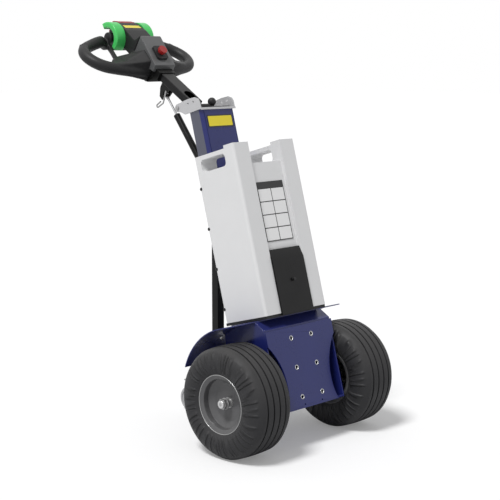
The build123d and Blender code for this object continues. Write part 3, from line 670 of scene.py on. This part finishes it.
def hitch_bushes():
    """Steel bushes in the six holes of the hitch plate."""
    outer = hole_radius + bush_wall
    bore = hole_radius - bush_step
    ring = turned("bush", [(bore, -bush_depth), (hole_radius, -bush_depth), (hole_radius, 0), (outer, 0),
                           (outer, bush_lip), (bore, bush_lip)], bush_segments, closed=True)
    place = in_body @ Matrix.Translation((-hole_pitch / 2, hitch_face, lowest_hole)) @ facing_front
    bushes = in_rows(ring, place, "bright_steel", columns=hole_columns, rows=hole_rows,
                     column_step=(hole_pitch, 0, 0), row_step=(0, hole_pitch, 0))
    new_piece("hitch_bushes", bushes, "bright_steel", "frame")


def screw(name, radius, height):
    """A button-head screw with a round socket."""
    socket = radius * screw_socket
    floor_height = height * socket_floor
    profile = [(0, -head_sunk), (radius, -head_sunk), (radius, height * screw_rim),
               (radius * screw_crown, height * screw_crown), (socket * socket_rim, height),
               (socket, height), (socket, floor_height), (0, floor_height)]
    return turned(name, profile, screw_segments)


def case_plugs():
    """Black screw plugs up the rear edge of each side of the battery case."""
    for name, side in sides.items():
        place = in_body @ Matrix.Translation((side * case_half, plug_back, plug_lowest)) @ outwards(side)
        row = in_rows(screw("plug", plug_radius, plug_height), place, "black_plastic", rows=plug_count,
                      row_step=(-side * plug_step, 0, 0))
        new_piece("case_plugs_" + name, row, "black_plastic", "frame")


def guard_bolts():
    """Two bright bolt ends on the inside of the guard's tail, on each side."""
    for name, side in sides.items():
        turn = Matrix.Rotation(-bolt_angle, 4, "X")
        middle = Matrix.Translation((side * bolt_across - bolt_gap / 2, -middle_y, wheel_radius)) @ turn
        place = middle @ Matrix.Translation((0, 0, guard_inside)) @ Matrix.Rotation(math.pi, 4, "X")
        pair = in_rows(screw("bolt", bolt_radius, bolt_height), place, "bright_steel", columns=2,
                       column_step=(bolt_gap, bolt_stagger, 0))
        new_piece("guard_bolts_" + name, pair, "bright_steel", "frame")


def mast_plate():
    """Blank yellow plate with a dark border on the mast's cover."""
    front = front_of("mast_cover", in_body)
    middle = (plate_low + plate_high) / 2
    height = plate_high - plate_low
    place = in_body @ Matrix.Translation((0, front, middle)) @ facing_front
    back = plate("back", 2 * plate_half, height, plate_thickness, plate_corner)
    back.transform(place)
    new_piece("name_plate_border", back, "dark_film", "frame")
    face = plate("face", 2 * (plate_half - plate_border), height - 2 * plate_border, 2 * film, plate_corner)
    face.transform(place @ Matrix.Translation((0, 0, plate_thickness - film)))
    new_piece("name_plate_face", face, "yellow_film", "frame")


def label_pieces():
    """Dark head strip and blank tiles on the case's label."""
    front = front_of("label_plate", in_body)
    head = plate("head", 2 * (label_half - label_margin), label_head, film, tile_corner)
    head_middle = (0, front, label_high - label_margin - label_head / 2)
    head.transform(in_body @ Matrix.Translation(head_middle) @ facing_front)
    new_piece("label_head", head, "dark_film", "frame")
    width = (2 * label_half - (tile_columns + 1) * tile_edge) / tile_columns
    height = (label_high - label_low - label_head - (tile_rows + 1) * tile_edge) / tile_rows
    tile = plate("tile", width, height, film, tile_corner)
    first = (tile_edge + width / 2 - label_half, front, label_low + tile_edge + height / 2)
    place = in_body @ Matrix.Translation(first) @ facing_front
    tiles = in_rows(tile, place, "tile_film", columns=tile_columns, rows=tile_rows,
                    column_step=(width + tile_edge, 0, 0), row_step=(0, height + tile_edge, 0))
    new_piece("label_tiles", tiles, "tile_film", "frame")


def head_strip():
    """Blank yellow strip on top of the tiller head."""
    strip = plate("strip", 2 * strip_half, strip_back - strip_front, 2 * film, tile_corner)
    middle = (0, (strip_front + strip_back) / 2, strip_up)
    strip.transform(in_tiller @ Matrix.Translation(middle) @ Matrix.Rotation(-strip_fall, 4, "X"))
    new_piece("head_strip", strip, "yellow_film", "tiller_arm")


def add_shoulder(work, side):
    """A fuller web from the head's body to the ring, as a closed loft in the head's own mesh."""
    rows = []
    for across, section in shoulder_sections:
        points = [in_tiller @ Vector((side * across, along, up)) for along, up in section]
        rows.append([work.verts.new(point) for point in points])
    faces = [work.faces.new(rows[0]), work.faces.new(rows[-1])]
    for near, far in zip(rows, rows[1:]):
        for place in range(len(near)):
            after = (place + 1) % len(near)
            faces.append(work.faces.new([near[place], near[after], far[after], far[place]]))
    bmesh.ops.recalc_face_normals(work, faces=faces)


def slim_drum(work):
    """Draw the drums' outer faces in towards their axis."""
    to_tiller = in_tiller.inverted()
    for vertex in work.verts:
        place = to_tiller @ vertex.co
        away = Vector((0, place.y - drum_along, place.z - drum_up))
        on_drum = drum_radius - drum_under < away.length < drum_radius + drum_over
        if abs(place.x) > drum_inside and on_drum:
            vertex.co = in_tiller @ (place - away * (1 - drum_shown / drum_radius))


def course(value, start, end):
    """0 before start and 1 after end, with a soft course between them."""
    share = min(max((value - start) / (end - start), 0), 1)
    return share * share * (3 - 2 * share)


def raise_ring_back(mesh):
    """Lift the ring where it runs to the drums."""
    to_tiller = in_tiller.inverted()
    for vertex in mesh.vertices:
        place = to_tiller @ vertex.co
        share = course(abs(place.x), *rise_across) * (1 - course(abs(place.x), *rise_away))
        place.z += rise_height * share * course(place.y, *rise_along)
        vertex.co = in_tiller @ place


def belly_pad():
    """Soft-edged red pad on the back of the head, which stands for the plain button."""
    work = bmesh.new()
    rows = []
    for across in (-pad_half, pad_half):
        points = [in_tiller @ Vector((across, along, up)) for along, up in pad_profile]
        rows.append([work.verts.new(point) for point in points])
    work.faces.new(rows[0])
    work.faces.new(rows[1])
    for place in range(len(pad_profile)):
        after = (place + 1) % len(pad_profile)
        work.faces.new([rows[0][place], rows[0][after], rows[1][after], rows[1][place]])
    piece = new_piece("belly_pad", mesh_from(work, "belly_pad"), "red_plastic", "tiller_arm")
    soften(piece, pad_edge, pad_segments)
    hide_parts("belly_button")


def head_skin():
    """The moulded head in one soft skin, which stands for its solid."""
    work = bmesh.new()
    work.from_mesh(nodes["tiller_head"].data)
    bmesh.ops.remove_doubles(work, verts=work.verts, dist=skin_weld)
    slim_drum(work)
    for side in sides.values():
        add_shoulder(work, side)
    mesh = bpy.data.meshes.new("head_skin")
    work.to_mesh(mesh)
    work.free()
    holder = bpy.data.objects.new("skin", mesh)
    bpy.context.scene.collection.objects.link(holder)
    voxels = holder.modifiers.new("voxels", "REMESH")
    voxels.mode = "VOXEL"
    voxels.voxel_size = skin_voxel
    voxels.use_smooth_shade = True
    holder.data = evaluated_mesh(holder)
    raise_ring_back(holder.data)
    even = holder.modifiers.new("even", "SMOOTH")
    even.factor = skin_softness
    even.iterations = skin_smoothing
    skin = evaluated_mesh(holder)
    bpy.data.objects.remove(holder)
    piece = new_piece("head_skin", skin, "black_plastic", "tiller_arm")
    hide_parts("tiller_head")


wheel_trim()
hitch_bushes()
case_plugs()
guard_bolts()
mast_plate()
label_pieces()
head_strip()
belly_pad()
head_skin()


# Floor, light and camera

# Where the sun stands as seen from the machine, its strength and how wide it is
sun_towards = (-1.0, -0.15, 1.7)
sun_strength = 2.3
sun_width = math.radians(16)
sky_light = (0.42, 0.42, 0.425)
floor_glow = 0.2                # what the camera alone sees of the floor's own light
floor_grey = 0.80
floor_reach = 30.0


def floor():
    mesh = bpy.data.meshes.new("floor")
    far = floor_reach
    corners = [(-far, -far, 0), (far, -far, 0), (far, far, 0), (-far, far, 0)]
    mesh.from_pydata(corners, [], [(0, 1, 2, 3)])
    plane = bpy.data.objects.new("floor", mesh)
    bpy.context.scene.collection.objects.link(plane)
    material = bpy.data.materials.new("floor")
    material.use_nodes = True
    tree = material.node_tree
    shader = tree.nodes["Principled BSDF"]
    shader.inputs["Base Color"].default_value = (floor_grey, floor_grey, floor_grey, 1)
    shader.inputs["Roughness"].default_value = 1.0
    shader.inputs["Specular IOR Level"].default_value = 0.0
    rays = tree.nodes.new("ShaderNodeLightPath")
    seen = maths(tree, "MULTIPLY", rays.outputs["Is Camera Ray"], floor_glow)
    shader.inputs["Emission Color"].default_value = (1, 1, 1, 1)
    link(tree, seen, shader.inputs["Emission Strength"])
    mesh.materials.append(material)


def world():
    sky = bpy.data.worlds.new("studio")
    bpy.context.scene.world = sky
    sky.use_nodes = True
    tree = sky.node_tree
    back = tree.nodes["Background"]
    rays = tree.nodes.new("ShaderNodeLightPath")
    glassy = maths(tree, "MAXIMUM", rays.outputs["Is Glossy Ray"], rays.outputs["Is Transmission Ray"])
    direct = maths(tree, "MAXIMUM", rays.outputs["Is Camera Ray"], glassy)
    blend = tree.nodes.new("ShaderNodeMix")
    blend.data_type = "RGBA"
    link(tree, direct, blend.inputs["Factor"])
    blend.inputs[mix_first].default_value = (*sky_light, 1)
    blend.inputs[mix_second].default_value = (1, 1, 1, 1)
    link(tree, blend.outputs[mix_result], back.inputs["Color"])


def sun():
    lamp = bpy.data.lights.new("sun", "SUN")
    lamp.energy = sun_strength
    lamp.angle = sun_width
    holder = bpy.data.objects.new("sun", lamp)
    bpy.context.scene.collection.objects.link(holder)
    holder.rotation_euler = (-Vector(sun_towards)).to_track_quat("-Z", "Y").to_euler()


def camera():
    lens = bpy.data.cameras.new("camera")
    lens.lens = camera_lens
    lens.sensor_width = camera_sensor
    lens.clip_start, lens.clip_end = clip_near, clip_far
    holder = bpy.data.objects.new("camera", lens)
    bpy.context.scene.collection.objects.link(holder)
    holder.location = camera_place
    level = math.cos(camera_pitch)
    across, away = math.sin(camera_heading) * level, math.cos(camera_heading) * level
    ahead = Vector((across, away, -math.sin(camera_pitch)))
    holder.rotation_euler = ahead.to_track_quat("-Z", "Y").to_euler()
    bpy.context.scene.camera = holder


floor()
world()
camera()
sun()

bpy.context.scene.view_settings.view_transform = "Standard"
